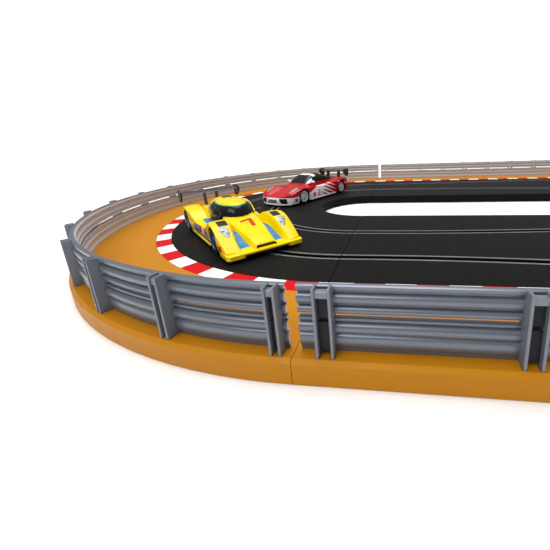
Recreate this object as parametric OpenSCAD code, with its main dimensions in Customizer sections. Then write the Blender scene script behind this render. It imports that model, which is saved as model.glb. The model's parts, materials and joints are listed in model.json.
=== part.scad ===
// Two-lane slot car set: a closed oval of moulded track with kerbs, borders and crash barriers,
// a power terminal, and two geared cars that run in its slots.
// Origin: middle of the oval, on the surface it stands on. +X runs along the straights, +Z is up.

/* [Track] */
// Length of one straight section
section_l = 350; // [340:5:360]
// Radius of the curve's outer track edge
track_out = 180; // [178:1:182]
// Radius of the curve's inner track edge
track_in = 49; // [47:1:52]
// Height of the running surface above the floor
track_h = 9; // [8:0.5:10]
// Radius of the outer lane's slot in the curve
slot_out = 148; // [146:1:150]
// Radius of the inner lane's slot in the curve
slot_in = 99; // [97:1:101]
// Distance of the outer slot from the centre line on the wide straight
slot_out_wide = 162; // [158:1:166]
// Distance of the inner slot from the centre line on the wide straight
slot_in_wide = 85; // [80:1:90]
// Width of a slot
slot_w = 3.2; // [3:0.1:3.6]

/* [Border and barrier] */
// Width of the kerb stones
kerb_w = 10; // [8:0.5:11]
// Radius of the border's outer edge
border_out = 233.6; // [233:0.2:236]
// Radius of the barrier's middle line
barrier_r = 226.6; // [226:0.2:227]
// Height of the barrier
barrier_h = 24; // [22:1:26]
// Height of a post above the border
post_h = 24.5; // [24.2:0.1:28]
// Posts on one barrier of the curve
curve_posts = 17; // [9:2:17]

/* [Cars: prototype, GT] */
// Width of each body
car_w = [50, 49]; // [48:1:52]
// Distance from the guide pin to the nose
car_nose = [13, 11]; // [10:1:14]
// Distance from the guide pin back to the tail
car_tail = [-108, -107]; // [-110:1:-104]
// Wheelbase
car_wheelbase = [74, 74]; // [72:1:76]
// Wheel radius over the tyre
car_wheel_r = [8.6, 8.4]; // [8:0.1:9]
// Where each guide stands round the left curve, from the front joint
car_phi = [22, 91.5]; // [20:0.5:95]
// Heading of each car, measured from +X
car_heading = [-42, -113]; // [-115:1:-30]

/* [Hidden] */
YELLOW = 0;                    // positions of the two cars in the lists above
RED = 1;
$fn = 48;

// ---- shared sizes -------------------------------------------------------------------------
run = section_l;               // the left curve's centre is at X = -run, the right one's at +run
gap = 0.4;                     // seam between neighbouring mouldings
plate = 2.4;                   // thickness of the top plates
wall = 1.6;                    // thickness of the skirts
slot_depth = 6;
channel = 1.2;                 // thickness of a slot's side walls
strip_w = 1.6;                 // width of a conductor strip
strip_off = slot_w / 2 + 1.5;  // from the slot's middle to the strip's middle
strip_deep = 0.8;
strip_proud = 0.15;
kerb_t = 1.2;
chamfer = 1.3;                 // slope of the border's outer top edge
kerb_in = track_out + gap;
kerb_out = track_out + kerb_w;
border_in = track_out + gap;
kerb_first = 1.6;              // angle where the first red stone of a curve begins
kerb_pitch = (90 - kerb_first) / 16.5;
kerb_start = 12.8;             // length where the first red stone of a straight begins
kerb_l = (section_l - kerb_start) / 22.5;
steps = 24;                    // segments along a lane's change of spacing

// Smooth step from 0 to 1
function ease(t) = let (u = max(0, min(1, t))) u * u * (3 - 2 * u);
// Distance of a lane's slot from the centre line, at x along a straight section
function lane(x, narrow, wide) = narrow + (wide - narrow) * ease((x - 30) / 270);
// Points along a lane, moved sideways by off
function lane_side(narrow, wide, off) = [for (i = [0 : steps])
    let (x = gap / 2 + (section_l - gap) * i / steps) [x, -lane(x, narrow, wide) + off]];
function reversed(list) = [for (i = [len(list) - 1 : -1 : 0]) list[i]];

// Places a left-front quarter drawn about its curve centre, mirrored to any corner of the oval
module quarter(right, back) {
    mirror([right ? 1 : 0, 0, 0])
        mirror([0, back ? 1 : 0, 0])
            translate([-run, 0, 0])
                children();
}

module all_quarters() {
    for (right = [false, true], back = [false, true])
        quarter(right, back) children();
}

// Sweeps a section in the XZ plane round the left-front quarter, from angle a to angle b
module sweep(a, b) {
    rotate([0, 0, 270 - b])
        rotate_extrude(angle = b - a, $fn = 96)
            children();
}

// A strip that follows a lane along a straight, between two sideways offsets
module lane_strip(narrow, wide, low, high) {
    polygon(concat(lane_side(narrow, wide, low), reversed(lane_side(narrow, wide, high))));
}

// ---- track --------------------------------------------------------------------------------
// Everything that a slot adds under the top plate, in section: two walls and a floor
module slot_channel_section(r) {
    translate([r - slot_w / 2 - channel, track_h - slot_depth - 1])
        square([slot_w + 2 * channel, slot_depth + 1 - plate / 2]);
}

module slot_cut_section(r) {
    translate([r - slot_w / 2, track_h - slot_depth])
        square([slot_w, slot_depth + 1]);
    for (side = [-1, 1])
        translate([r + side * strip_off - strip_w / 2, track_h - strip_deep])
            square([strip_w, strip_deep + 1]);
}

module track_section() {
    difference() {
        union() {
            translate([track_in, track_h - plate])
                square([track_out - track_in, plate]);
            for (r = [track_in, track_out - wall])
                translate([r, 0]) square([wall, track_h]);
            for (r = [slot_in, slot_out])
                slot_channel_section(r);
        }
        for (r = [slot_in, slot_out])
            slot_cut_section(r);
    }
}

module track_curve() {
    color("#26262a")
        difference() {
            sweep(0, 90) track_section();
            translate([-gap / 2, -track_out - 1, -1]) cube([gap, track_out + 2, track_h + 2]);
            translate([-track_out - 1, -gap / 2, -1]) cube([track_out + 2, gap, track_h + 2]);
        }
}

module track_straight() {
    color("#26262a")
        difference() {
            union() {
                translate([gap / 2, -track_out, track_h - plate])
                    cube([section_l - gap, track_out - track_in, plate]);
                for (y = [-track_out, -track_in - wall])
                    translate([gap / 2, y, 0]) cube([section_l - gap, wall, track_h]);
                for (lane_at = [[slot_in, slot_in_wide], [slot_out, slot_out_wide]])
                    translate([0, 0, track_h - slot_depth - 1])
                        linear_extrude(slot_depth + 1 - plate / 2)
                            lane_strip(lane_at[0], lane_at[1],
                                -slot_w / 2 - channel, slot_w / 2 + channel);
            }
            for (lane_at = [[slot_in, slot_in_wide], [slot_out, slot_out_wide]]) {
                translate([0, 0, track_h - slot_depth])
                    linear_extrude(slot_depth + 1)
                        lane_strip(lane_at[0], lane_at[1], -slot_w / 2, slot_w / 2);
                for (side = [-1, 1])
                    translate([0, 0, track_h - strip_deep])
                        linear_extrude(strip_deep + 1)
                            lane_strip(lane_at[0], lane_at[1],
                                side * strip_off - strip_w / 2, side * strip_off + strip_w / 2);
            }
        }
}

// The two metal strips beside one lane's slot, in every section of the oval
module conductors(narrow, wide) {
    strip_h = strip_deep + strip_proud - 0.05;
    color("#9a9a9a")
        all_quarters()
            for (side = [-1, 1]) {
                sweep(0.15, 89.85)
                    translate([narrow + side * strip_off - strip_w / 2 + 0.02,
                        track_h - strip_deep + 0.05])
                        square([strip_w - 0.04, strip_h]);
                translate([0, 0, track_h - strip_deep + 0.05])
                    linear_extrude(strip_h)
                        lane_strip(narrow, wide, side * strip_off - strip_w / 2 + 0.02,
                            side * strip_off + strip_w / 2 - 0.02);
            }
}

// Spring clips under the plates that hold neighbouring sections together
clip = [18, 10, 1.6];
module clip_pair() {
    for (y = [-(track_in + slot_in) / 2, -(slot_in + slot_out) / 2])
        translate([-clip[0] / 2, y - clip[1] / 2, track_h - plate - clip[2] - 0.02])
            cube(clip);
}

module joint_clips() {
    color("#1c1c1f") {
        all_quarters() clip_pair();
        for (back = [false, true])
            quarter(false, back) translate([run, 0, 0]) clip_pair();
        for (right = [false, true])
            quarter(right, false) rotate([0, 0, -90]) clip_pair();
    }
}

// ---- border and kerb ----------------------------------------------------------------------
module border_section() {
    difference() {
        polygon([[border_in, 0], [border_in + wall, 0], [border_in + wall, track_h - plate - 1],
            [border_out - 2, track_h - plate - 1], [border_out - 2, 0], [border_out, 0],
            [border_out, track_h - chamfer], [border_out - chamfer, track_h], [border_in, track_h]]);
        translate([border_in - 1, track_h - kerb_t]) square([kerb_out - border_in + 1, kerb_t + 1]);
    }
}

// Angles of the posts round one 180 degree barrier, from its front end
post_inset = 1.4;
function post_angle(i) = post_inset + (180 - 2 * post_inset) * i / (curve_posts - 1);
// Distances of the posts along one straight section, which begins with one long bay
straight_posts = 9;
post_end = 11;
post_first = 73.5;
function straight_post(i) = i == 0 ? post_end
    : post_first + (section_l - post_end - post_first) * (i - 1) / (straight_posts - 2);

fin_t = 1;                     // thickness of a fin
curve_gap = 3.2;               // between the middles of a post's two fins, round the curves
straight_gap = 5;              // the same along the straights
post_out = barrier_r + 5.4;    // the fins' outer edge
post_fit = 0.06;               // clearance between a fin and the barrier's face
peg = [fin_t, 2.4, 3];         // the peg under a fin, which plugs into the border
peg_fit = 0.15;

// Runs its children once at each post of the left-front quarter of the curve
module at_curve_posts() {
    for (i = [0 : (curve_posts - 1) / 2])
        rotate([0, 0, -post_angle(i)])
            children();
}

module at_straight_posts() {
    for (i = [0 : straight_posts - 1])
        translate([straight_post(i), 0, 0])
            children();
}

// The two pegs of one post, at the front of the oval, or their holes when more is the fit
module pegs(spread, more) {
    for (side = [-1, 1])
        translate([side * spread / 2 - peg[0] / 2 - more, -post_out + 0.2 - more,
            track_h - peg[2] - more])
            cube([peg[0] + 2 * more, peg[1] + 2 * more, peg[2] + 10 * more]);
}

module border_curve() {
    color("#d79325")
        for (back = [0, 1], half = [0, 1])
            mirror([0, back, 0])
                difference() {
                    sweep(45 * half + 0.03, 45 * half + 44.97) border_section();
                    at_curve_posts() pegs(curve_gap, peg_fit);
                }
}

module border_straight() {
    seam = 0.1;
    color("#d79325")
        difference() {
            translate([section_l - seam, 0, 0])
                rotate([90, 0, -90])
                    linear_extrude(section_l - 2 * seam) border_section();
            at_straight_posts() pegs(straight_gap, peg_fit);
        }
}

module border_straights(back) {
    for (right = [false, true])
        quarter(right, back) border_straight();
}

// Every second kerb stone of a quarter, from stone number first. Stone 0 meets the joint
module kerb(first) {
    all_quarters() {
        for (k = [first : 2 : 17])
            sweep(max(0.04, kerb_first + (k - 1) * kerb_pitch + 0.03),
                min(89.96, kerb_first + k * kerb_pitch - 0.03))
                translate([kerb_in, track_h - kerb_t + 0.02])
                    square([kerb_out - kerb_in - 0.1, kerb_t - 0.02]);
        for (k = [first : 2 : 23]) {
            low = max(gap / 2, kerb_start + (k - 1) * kerb_l + 0.05);
            high = min(section_l - gap / 2, kerb_start + k * kerb_l - 0.05);
            translate([low, -kerb_out + 0.1, track_h - kerb_t + 0.02])
                cube([high - low, kerb_out - kerb_in - 0.1, kerb_t - 0.02]);
        }
    }
}

// ---- barrier ------------------------------------------------------------------------------
// Rounded beams of the barrier: height of the middle, half height, bulge
beams = [[19.2, 2.1, 1.9], [15, 1.5, 1.6], [8.6, 2.1, 1.9], [4.4, 2.1, 1.2]];
slit_z = 12.4;
slit_h = 1.2;
skin = 1.1;                    // thickness of the barrier's wall
barrier_steps = 48;
// Outward bulge of the barrier at height z
function bulge(z) = max([for (b = beams)
    abs(z - b[0]) < b[1] ? b[2] * sqrt(1 - pow((z - b[0]) / b[1], 2)) : 0]);
function lip(z) = z > barrier_h - 1.6 ? 1.6 : 0;
function barrier_face(side) = [for (i = [0 : barrier_steps])
    let (z = barrier_h * i / barrier_steps)
    [barrier_r + side * skin / 2 + bulge(z) * 0.9 + lip(z) * (side > 0 ? 0.6 : 0), track_h + z]];

module barrier_section() {
    polygon(concat(barrier_face(-1), reversed(barrier_face(1))));
}

module slit_section() {
    translate([barrier_r - 4, track_h + slit_z]) square([10, slit_h]);
}

// Half of the left curve's barrier, with slits between its posts
module barrier_quarter() {
    bay = (180 - 2 * post_inset) / (curve_posts - 1);
    bridge = 1.2;
    difference() {
        sweep(0.5, 89.97) barrier_section();
        for (i = [0 : (curve_posts - 1) / 2 - 1])
            sweep(post_angle(i) + bridge, post_angle(i) + bay - bridge) slit_section();
    }
}

module barrier_curve() {
    color("#838b97")
        for (back = [false, true])
            mirror([0, back ? 1 : 0, 0]) barrier_quarter();
}

module barrier_straight() {
    end_gap = 2;
    bridge = 3.6;
    color("#838b97")
        difference() {
            translate([section_l - 0.2, 0, 0])
                rotate([90, 0, -90])
                    linear_extrude(section_l - end_gap - 0.2) barrier_section();
            for (i = [0 : straight_posts - 2])
                translate([straight_post(i) + bridge, -barrier_r - 6, track_h + slit_z])
                    cube([straight_post(i + 1) - straight_post(i) - 2 * bridge, 10, slit_h]);
        }
}

module barrier_straights(back) {
    for (right = [false, true])
        quarter(right, back) barrier_straight();
}

// One post, standing against the barrier's outer face at the front: two upright fins whose inner
// edges follow the corrugation, a cross bar near the top and a web on each side of the slit
module post(spread) {
    edge = [for (q = barrier_face(1)) [q[0] + post_fit, q[1]]];
    bar = [2, 2.5];
    web_t = 0.6;
    for (side = [-1, 1])
        translate([side * spread / 2 + fin_t / 2, 0, 0])
            rotate([90, 0, -90])
                linear_extrude(fin_t)
                    polygon(concat(edge, [[edge[barrier_steps][0], track_h + post_h],
                        [post_out, track_h + post_h], [post_out, track_h]]));
    translate([-spread / 2, -post_out + 0.6, track_h + barrier_h - 3.1])
        cube([spread, bar[0], bar[1]]);
    for (z = [[1.5, slit_z - 0.4], [slit_z + slit_h + 0.4, barrier_h - 2]])
        translate([-spread / 2, -post_out + 2, track_h + z[0]])
            cube([spread, web_t, z[1] - z[0]]);
    pegs(spread, 0);
}

module barrier_posts() {
    color("#99a0ac")
        for (right = [false, true])
            mirror([right ? 1 : 0, 0, 0]) {
                translate([-run, 0, 0])
                    for (i = [0 : curve_posts - 1])
                        rotate([0, 0, -post_angle(i)]) post(curve_gap);
                for (back = [0, 1])
                    mirror([0, back, 0])
                        translate([-run, 0, 0]) at_straight_posts() post(straight_gap);
            }
}

// ---- power terminal -----------------------------------------------------------------------
// A low box on the infield side of the back right section, with a power socket and one socket
// for each hand controller
term = [76, 20, 12];
term_x = 140;
socket = [12, 8, 7];
socket_x = [-24, 0, 24];
contact = [1, 6, 0.6];
module power_terminal() {
    color("#2b2b2f")
        translate([term_x, track_in - gap - term[1], 0])
            difference() {
                translate([-term[0] / 2, 0, 0]) cube(term);
                translate([-term[0] / 2 + 2, socket[1] + 2, -1])
                    cube([term[0] - 4, term[1] - socket[1] - 4, term[2] - 1]);
                for (x = socket_x)
                    translate([x - socket[0] / 2, -1, 2]) cube([socket[0], socket[1] + 1, socket[2]]);
            }
}

module terminal_contacts() {
    color("#c9a24a")
        translate([term_x, track_in - gap - term[1] + socket[1] - contact[1], 2.02])
            for (x = socket_x, side = [-1, 1])
                translate([x + side * 3 - contact[0] / 2, 0, 0]) cube(contact);
}

// ---- cars ---------------------------------------------------------------------------------
// Each car is drawn about its guide pin, on the track's surface, nose towards +X.
deck = 2.2;                    // underside of body and chassis above the track
floor_t = 1.6;                 // thickness of the chassis plate
axle_r = 1;
fit = 0.05;                    // running clearance round axles and pins
ride = 0.2;                    // tyres clear the track
tyre_w = [8, 7.6];
rim_r = [5.8, 6.2];
front_axle = -14.5;
motor_r = 5;
motor_l = 18;
pinion_teeth = 9;
crown_teeth = 27;
pinion_r = 1.9;                // pitch radii, in the ratio of the teeth
crown_r = 5.7;
crown_y = 3.4;                 // root face of the crown gear's teeth

function rear_axle(c) = front_axle - car_wheelbase[c];
function axle_z(c) = car_wheel_r[c] + ride;
function slot_r(c) = c == YELLOW ? slot_out : slot_in;
function guide_at(c) = [-run - slot_r(c) * sin(car_phi[c]), -slot_r(c) * cos(car_phi[c]), track_h];
function body_color(c) = c == YELLOW ? "#f6d90b" : "#d8101c";

module place_car(c) {
    translate(guide_at(c)) rotate([0, 0, car_heading[c]]) children();
}

module place_guide(c) {
    translate(guide_at(c)) rotate([0, 0, -car_phi[c]]) children();
}

// Side views, as points of length and height: the fenders, the lower body between them, the cabin
function fender_line(c) = c == YELLOW
    ? [[car_nose[0], deck], [car_nose[0], 4.2], [4, 9], [-6, 16.8], [-14, 19.6], [-20, 19], [-28, 16.2],
       [-44, 13.2], [-62, 14], [-76, 18.4], [-88, 20.2], [-96, 19.8], [car_tail[0], 17], [car_tail[0], deck]]
    : [[car_nose[1], deck], [car_nose[1], 9], [2, 14], [-8, 18.2], [-14, 19.2], [-26, 18.4], [-60, 18.6],
       [-80, 20.6], [-88, 21], [car_tail[1] + 4, 19.4], [car_tail[1], 15], [car_tail[1], deck]];
function valley_line(c) = c == YELLOW
    ? [[car_nose[0], deck], [car_nose[0], 3.8], [6, 4.6], [-2, 7.8], [-11, 12], [-28, 12.8], [-64, 12.8],
       [-84, 15.6], [car_tail[0], 15.6], [car_tail[0], deck]]
    : [[car_nose[1], deck], [car_nose[1], 8.6], [3, 12], [-12, 15.8], [-26, 18], [-60, 18],
       [-80, 19], [car_tail[1] + 4, 19], [car_tail[1], 15], [car_tail[1], deck]];
function cabin_line(c) = c == YELLOW
    ? [[car_nose[0], deck], [car_nose[0], 5], [0, 10.2], [-24, 15.4], [-33, 18], [-47, 25.4],
       [-58, 26.4], [-72, 23], [car_tail[0], 18], [car_tail[0], deck]]
    : [[-20, deck], [-20, 16], [-30, 20], [-48, 29.4], [-62, 30], [-82, 22.6],
       [car_tail[1], 20.6], [car_tail[1], deck]];
cabin_w = [20, 36];
fender_w = [13, 12];           // width of a fender, in from the side
screen_ends = [[-31, -46], [-30, -46]];
shell = 1.3;                   // thickness of a body's wall
// The same outline, lower by the wall and shorter at both ends: the inside of a shell
function inside(c, line) = [for (q = line)
    [max(car_tail[c] + shell, min(car_nose[c] - shell, q[0])), max(-1, q[1] == deck ? -1 : q[1] - shell)]];

// The body in plan, inset all round: nose corners cut back, more on the GT, and tail corners too
module body_plan(c, inset) {
    half = car_w[c] / 2 - inset;
    front = car_nose[c] - inset;
    back = car_tail[c] + inset;
    nose_cut = c == YELLOW ? [[0, 5], [3, 1.4], [9, 0]] : [[0, 12], [3, 6.4], [8, 2], [15, 0]];
    polygon([for (side = [1, -1]) each let (
        edge = concat([for (q = nose_cut) [front - q[0], half - q[1]]], [[back + 5, half], [back, half - 3]]))
        side > 0 ? edge : reversed([for (q = edge) [q[0], -q[1]]])]);
}

module side_profile(line, w) {
    translate([0, w / 2, 0])
        rotate([90, 0, 0])
            linear_extrude(w) polygon(line);
}

module wheel_wells(c) {
    for (x = [front_axle, rear_axle(c)], side = [0, 1])
        mirror([0, side, 0])
            translate([x, car_w[c] / 2 - tyre_w[c] - 1.6, axle_z(c)])
                rotate([-90, 0, 0])
                    cylinder(r = car_wheel_r[c] + 0.7, h = tyre_w[c] + 3);
}

// Lengths at which screws join the chassis to the posts inside the body
boss_x = [-22, -50];
module bosses(c, r, low, high) {
    for (x = boss_x, side = [-1, 1])
        translate([x, side * 12, low]) cylinder(r = r, h = high - low);
}

// The slanted glass of the windscreen, thickened by t, as a cut or as a pane
module screen_band(c, w, t) {
    a = screen_ends[c][0];
    b = screen_ends[c][1];
    za = c == YELLOW ? 17.4 : 20;
    zb = c == YELLOW ? 24.9 : 28.4;
    translate([0, w / 2, 0])
        rotate([90, 0, 0])
            linear_extrude(w)
                polygon([[a, za + 0.1], [b, zb + 0.1], [b, zb - t], [a, za - t]]);
}

// The body from its three side views and its plan, inset sideways
module body_form(c, fender, valley, cabin, inset) {
    intersection() {
        union() {
            side_profile(valley, car_w[c]);
            side_profile(cabin, cabin_w[c] - 2 * inset);
            for (side = [-1, 1])
                translate([0, side * (car_w[c] - fender_w[c]) / 2, 0])
                    side_profile(fender, fender_w[c] - 2 * inset);
        }
        translate([0, 0, -5]) linear_extrude(60) body_plan(c, inset);
    }
}

module car_body(c) {
    color(body_color(c))
        difference() {
            body_form(c, fender_line(c), valley_line(c), cabin_line(c), 0);
            difference() {
                body_form(c, inside(c, fender_line(c)), inside(c, valley_line(c)),
                    inside(c, cabin_line(c)), shell);
                bosses(c, 2.4, deck + floor_t + 0.2, 40);
            }
            bosses(c, 1, 0, 10);
            wheel_wells(c);
            screen_band(c, cabin_w[c] - 5, 3);
            lamp_pockets(c, 0.1);
        }
}

// Lamps: two blocks let into the nose of each fender
lamp_x = [-2, 4];
lamp_y = [17, 14.5];
lamp = [5, 6, 3];
module lamp_pockets(c, more) {
    for (side = [-1, 1])
        translate([lamp_x[c] - lamp[0] / 2 - more, side * lamp_y[c] - lamp[1] / 2 - more,
            (c == YELLOW ? 11.2 : 10.6) - more])
            cube([lamp[0] + 2 * more, lamp[1] + 2 * more, lamp[2] + 30 * more]);
}

module car_headlamps(c) {
    color("#cfd6dc") lamp_pockets(c, 0);
}

module car_windscreen(c) {
    color("#14181c")
        difference() {
            screen_band(c, cabin_w[c] - 5.2, 1.2);
            translate([screen_ends[c][0] - 0.1, -50, 0]) cube([5, 100, 50]);
            translate([screen_ends[c][1] - 4.9, -50, 0]) cube([5, 100, 50]);
        }
}

wing_z = [27.4, 27];
wing_w = [48, 42];
wing_x = [-113, -111];
wing_chord = [11, 9];
pylon_x = [-106, -105];
pylon_y = [5, 9];
// Height of the tail's upper surface at x, where the pylons stand
function tail_z(c, x) = let (line = cabin_line(c), a = line[len(line) - 3], b = line[len(line) - 2])
    a[1] + (b[1] - a[1]) * (x - a[0]) / (b[0] - a[0]);

module car_rear_wing(c) {
    foot = [pylon_x[c] - 1, pylon_x[c] + 2];
    color("#1b1c20") {
        translate([wing_x[c], -wing_w[c] / 2, wing_z[c]])
            cube([wing_chord[c], wing_w[c], 1.4]);
        for (side = [-1, 1]) {
            translate([wing_x[c] - 0.5, side * wing_w[c] / 2 - 0.6, wing_z[c] - 3])
                cube([wing_chord[c] + 1, 1.2, 6]);
            translate([0, side * pylon_y[c], 0])
                side_profile([[foot[0], tail_z(c, foot[0]) + 0.02], [foot[1], tail_z(c, foot[1]) + 0.02],
                    [foot[1], wing_z[c] + 0.5], [foot[0], wing_z[c] + 0.5]], 1.2);
        }
    }
}

// Chassis plate with bearing blocks, motor cradle and the guide's sleeve
module car_chassis(c) {
    half = car_w[c] / 2 - shell - 0.4;
    waist = half - tyre_w[c] - 1.4;
    front = front_axle;
    rear = rear_axle(c);
    clear = car_wheel_r[c] + 1.4;
    block = [4, 3, axle_z(c) + 1.5 - deck];
    color("#3a3b40")
        difference() {
            union() {
                translate([0, 0, deck])
                    linear_extrude(floor_t)
                        polygon([for (side = [1, -1]) each let (
                            edge = [[car_nose[c] - 4, 6], [front + clear, 10], [front + clear, waist],
                                [front - clear, waist], [front - clear, half], [rear + clear, half],
                                [rear + clear, waist], [rear - clear, waist], [car_tail[c] + 3, waist]])
                            side > 0 ? edge : reversed([for (q = edge) [q[0], -q[1]]])]);
                for (x = [front, rear], side = [-1, 1])
                    translate([x - block[0] / 2, side * (waist - 1.6) - block[1] / 2, deck])
                        cube(block);
                translate([0, 0, deck]) cylinder(r = 3.4, h = 5);
                for (x = [rear + 12, rear + 26])
                    translate([x, -7.2, deck]) cube([2, 14.4, 5]);
            }
            for (x = [front, rear])
                translate([x, 0, axle_z(c)])
                    rotate([90, 0, 0]) cylinder(r = axle_r + fit, h = 60, center = true);
            translate([0, 0, -1]) cylinder(r = 1.5 + fit, h = 20);
            bosses(c, 1.15, 0, 6);
            translate([rear + 10, 0, axle_z(c)])
                rotate([0, 90, 0]) cylinder(r = motor_r + 0.1, h = 20);
            translate([rear - 7.4, -1, deck - 1]) cube([15.6, 8, floor_t + 2]);
        }
}

module car_motor(c) {
    color("#a9adb3")
        translate([rear_axle(c) + 11, 0, axle_z(c)])
            rotate([0, 90, 0])
                difference() {
                    cylinder(r = motor_r, h = motor_l);
                    translate([0, 0, -1]) cylinder(r = 0.8 + fit, h = 9);
                }
}

// Outline of the pinion: four points for each tooth
pinion_root = 1.3;
pinion_tip = 2.3;
pinion_outline = [for (i = [0 : pinion_teeth - 1]) each let (
    mid = (i + 0.5) * 360 / pinion_teeth, half_root = 12, half_tip = 5)
    [for (q = [[pinion_root, -half_root], [pinion_tip, -half_tip],
               [pinion_tip, half_tip], [pinion_root, half_root]])
        [q[0] * cos(mid + q[1] + 90), q[0] * sin(mid + q[1] + 90)]]];

module car_pinion(c) {
    color("#c9a24a")
        translate([rear_axle(c), 0, axle_z(c)])
            rotate([0, 90, 0]) {
                translate([0, 0, 4.3]) linear_extrude(3) polygon(pinion_outline);
                translate([0, 0, 6]) cylinder(r = 0.8, h = 12);
            }
}

module car_crown_gear(c) {
    color("#e8e4d8")
        translate([rear_axle(c), 0, axle_z(c)])
            rotate([-90, 0, 0]) {
                difference() {
                    union() {
                        translate([0, 0, crown_y - 0.8]) cylinder(r = crown_r + 1.1, h = 1.8);
                        translate([0, 0, crown_y]) cylinder(r = 2.4, h = 4);
                    }
                    cylinder(r = axle_r + 0.02, h = 20);
                }
                for (i = [0 : crown_teeth - 1])
                    rotate([0, 0, i * 360 / crown_teeth])
                        translate([crown_r - 1, -0.22, crown_y - 1.75]) cube([2, 0.44, 1]);
            }
}

module car_axle(c, x) {
    color("#c4c7cc")
        translate([x, 0, axle_z(c)])
            rotate([90, 0, 0])
                cylinder(r = axle_r, h = car_w[c] - 3, center = true);
}

module wheel_pair(c, x, r_in, r_out, w) {
    for (side = [0, 1])
        mirror([0, side, 0])
            translate([x, car_w[c] / 2 - tyre_w[c] - 0.4 + (tyre_w[c] - w) / 2, axle_z(c)])
                rotate([-90, 0, 0])
                    difference() {
                        cylinder(r = r_out, h = w);
                        translate([0, 0, -1]) cylinder(r = r_in, h = w + 2);
                    }
}

module car_wheels(c, x) {
    color(c == YELLOW ? "#2c4f9e" : "#e9e9ea")
        wheel_pair(c, x, axle_r + 0.02, rim_r[c], tyre_w[c] - 1);
}

module car_tyres(c, x) {
    color("#1a1a1c")
        wheel_pair(c, x, rim_r[c] + 0.02, car_wheel_r[c], tyre_w[c]);
}

// Guide: pin, flag plate and the blade that runs in the slot
module car_guide() {
    blade = [13, 1.9, 4.8];
    color("#2b50b8") {
        translate([0, 0, 1]) cylinder(r = 1.5, h = 6.8);
        translate([-6.5, -4.2, 0.9]) cube([13, 8.4, 1.1]);
        translate([-blade[0] / 2, -blade[1] / 2, -blade[2]]) cube([blade[0], blade[1], blade[2] + 1]);
    }
}

module car_braids() {
    color("#b8763a")
        for (side = [-1, 1])
            translate([-6, side * strip_off - 1, 0.35]) cube([12, 2, 0.5]);
}

module car_magnet() {
    color("#8d9096")
        translate([-42, -5, deck + floor_t + 0.02]) cube([8, 10, 2.5]);
}

module car_screws() {
    color("#6d7076")
        for (x = boss_x, side = [-1, 1])
            translate([x, side * 12, 0]) {
                translate([0, 0, deck - 0.9]) cylinder(r = 1.9, h = 0.9);
                translate([0, 0, deck - 0.5]) cylinder(r = 0.97, h = 7);
            }
}

quarter(false, false) track_curve();  // track_curve_left_front
quarter(false, true) track_curve();  // track_curve_left_back
quarter(true, false) track_curve();  // track_curve_right_front
quarter(true, true) track_curve();  // track_curve_right_back
quarter(false, false) track_straight();  // track_straight_front_left
quarter(true, false) track_straight();  // track_straight_front_right
quarter(false, true) track_straight();  // track_straight_back_left
quarter(true, true) track_straight();  // track_straight_back_right
conductors(slot_out, slot_out_wide);  // conductors_outer_lane
conductors(slot_in, slot_in_wide);  // conductors_inner_lane
quarter(false, false) border_curve();  // border_curve_left
quarter(true, false) border_curve();  // border_curve_right
border_straights(false);  // border_straight_front
border_straights(true);  // border_straight_back
color("#d4101a") kerb(1);  // kerb_red
color("#f4f4f2") kerb(0);  // kerb_white
quarter(false, false) barrier_curve();  // barrier_curve_left
quarter(true, false) barrier_curve();  // barrier_curve_right
barrier_straights(false);  // barrier_straight_front
barrier_straights(true);  // barrier_straight_back
barrier_posts();
joint_clips();
power_terminal();
terminal_contacts();
place_car(YELLOW) car_body(YELLOW);  // yellow_body
place_car(YELLOW) car_windscreen(YELLOW);  // yellow_windscreen
place_car(YELLOW) car_rear_wing(YELLOW);  // yellow_rear_wing
place_car(YELLOW) car_headlamps(YELLOW);  // yellow_headlamps
place_car(YELLOW) car_chassis(YELLOW);  // yellow_chassis
place_car(YELLOW) car_motor(YELLOW);  // yellow_motor
place_car(YELLOW) car_pinion(YELLOW);  // yellow_pinion
place_car(YELLOW) car_crown_gear(YELLOW);  // yellow_crown_gear
place_car(YELLOW) car_axle(YELLOW, front_axle);  // yellow_front_axle
place_car(YELLOW) car_wheels(YELLOW, front_axle);  // yellow_front_wheels
place_car(YELLOW) car_tyres(YELLOW, front_axle);  // yellow_front_tyres
place_car(YELLOW) car_axle(YELLOW, rear_axle(YELLOW));  // yellow_rear_axle
place_car(YELLOW) car_wheels(YELLOW, rear_axle(YELLOW));  // yellow_rear_wheels
place_car(YELLOW) car_tyres(YELLOW, rear_axle(YELLOW));  // yellow_rear_tyres
place_guide(YELLOW) car_guide();  // yellow_guide
place_guide(YELLOW) car_braids();  // yellow_braids
place_car(YELLOW) car_magnet();  // yellow_magnet
place_car(YELLOW) car_screws();  // yellow_screws
place_car(RED) car_body(RED);  // red_body
place_car(RED) car_windscreen(RED);  // red_windscreen
place_car(RED) car_rear_wing(RED);  // red_rear_wing
place_car(RED) car_headlamps(RED);  // red_headlamps
place_car(RED) car_chassis(RED);  // red_chassis
place_car(RED) car_motor(RED);  // red_motor
place_car(RED) car_pinion(RED);  // red_pinion
place_car(RED) car_crown_gear(RED);  // red_crown_gear
place_car(RED) car_axle(RED, front_axle);  // red_front_axle
place_car(RED) car_wheels(RED, front_axle);  // red_front_wheels
place_car(RED) car_tyres(RED, front_axle);  // red_front_tyres
place_car(RED) car_axle(RED, rear_axle(RED));  // red_rear_axle
place_car(RED) car_wheels(RED, rear_axle(RED));  // red_rear_wheels
place_car(RED) car_tyres(RED, rear_axle(RED));  // red_rear_tyres
place_guide(RED) car_guide();  // red_guide
place_guide(RED) car_braids();  // red_braids
place_car(RED) car_magnet();  // red_magnet
place_car(RED) car_screws();  // red_screws
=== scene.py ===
"""Slot car set: camera, light, materials, and detailed barriers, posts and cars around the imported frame."""
import json
import math

import bpy
import bmesh
import numpy as np
from mathutils import Matrix, Vector


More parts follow.
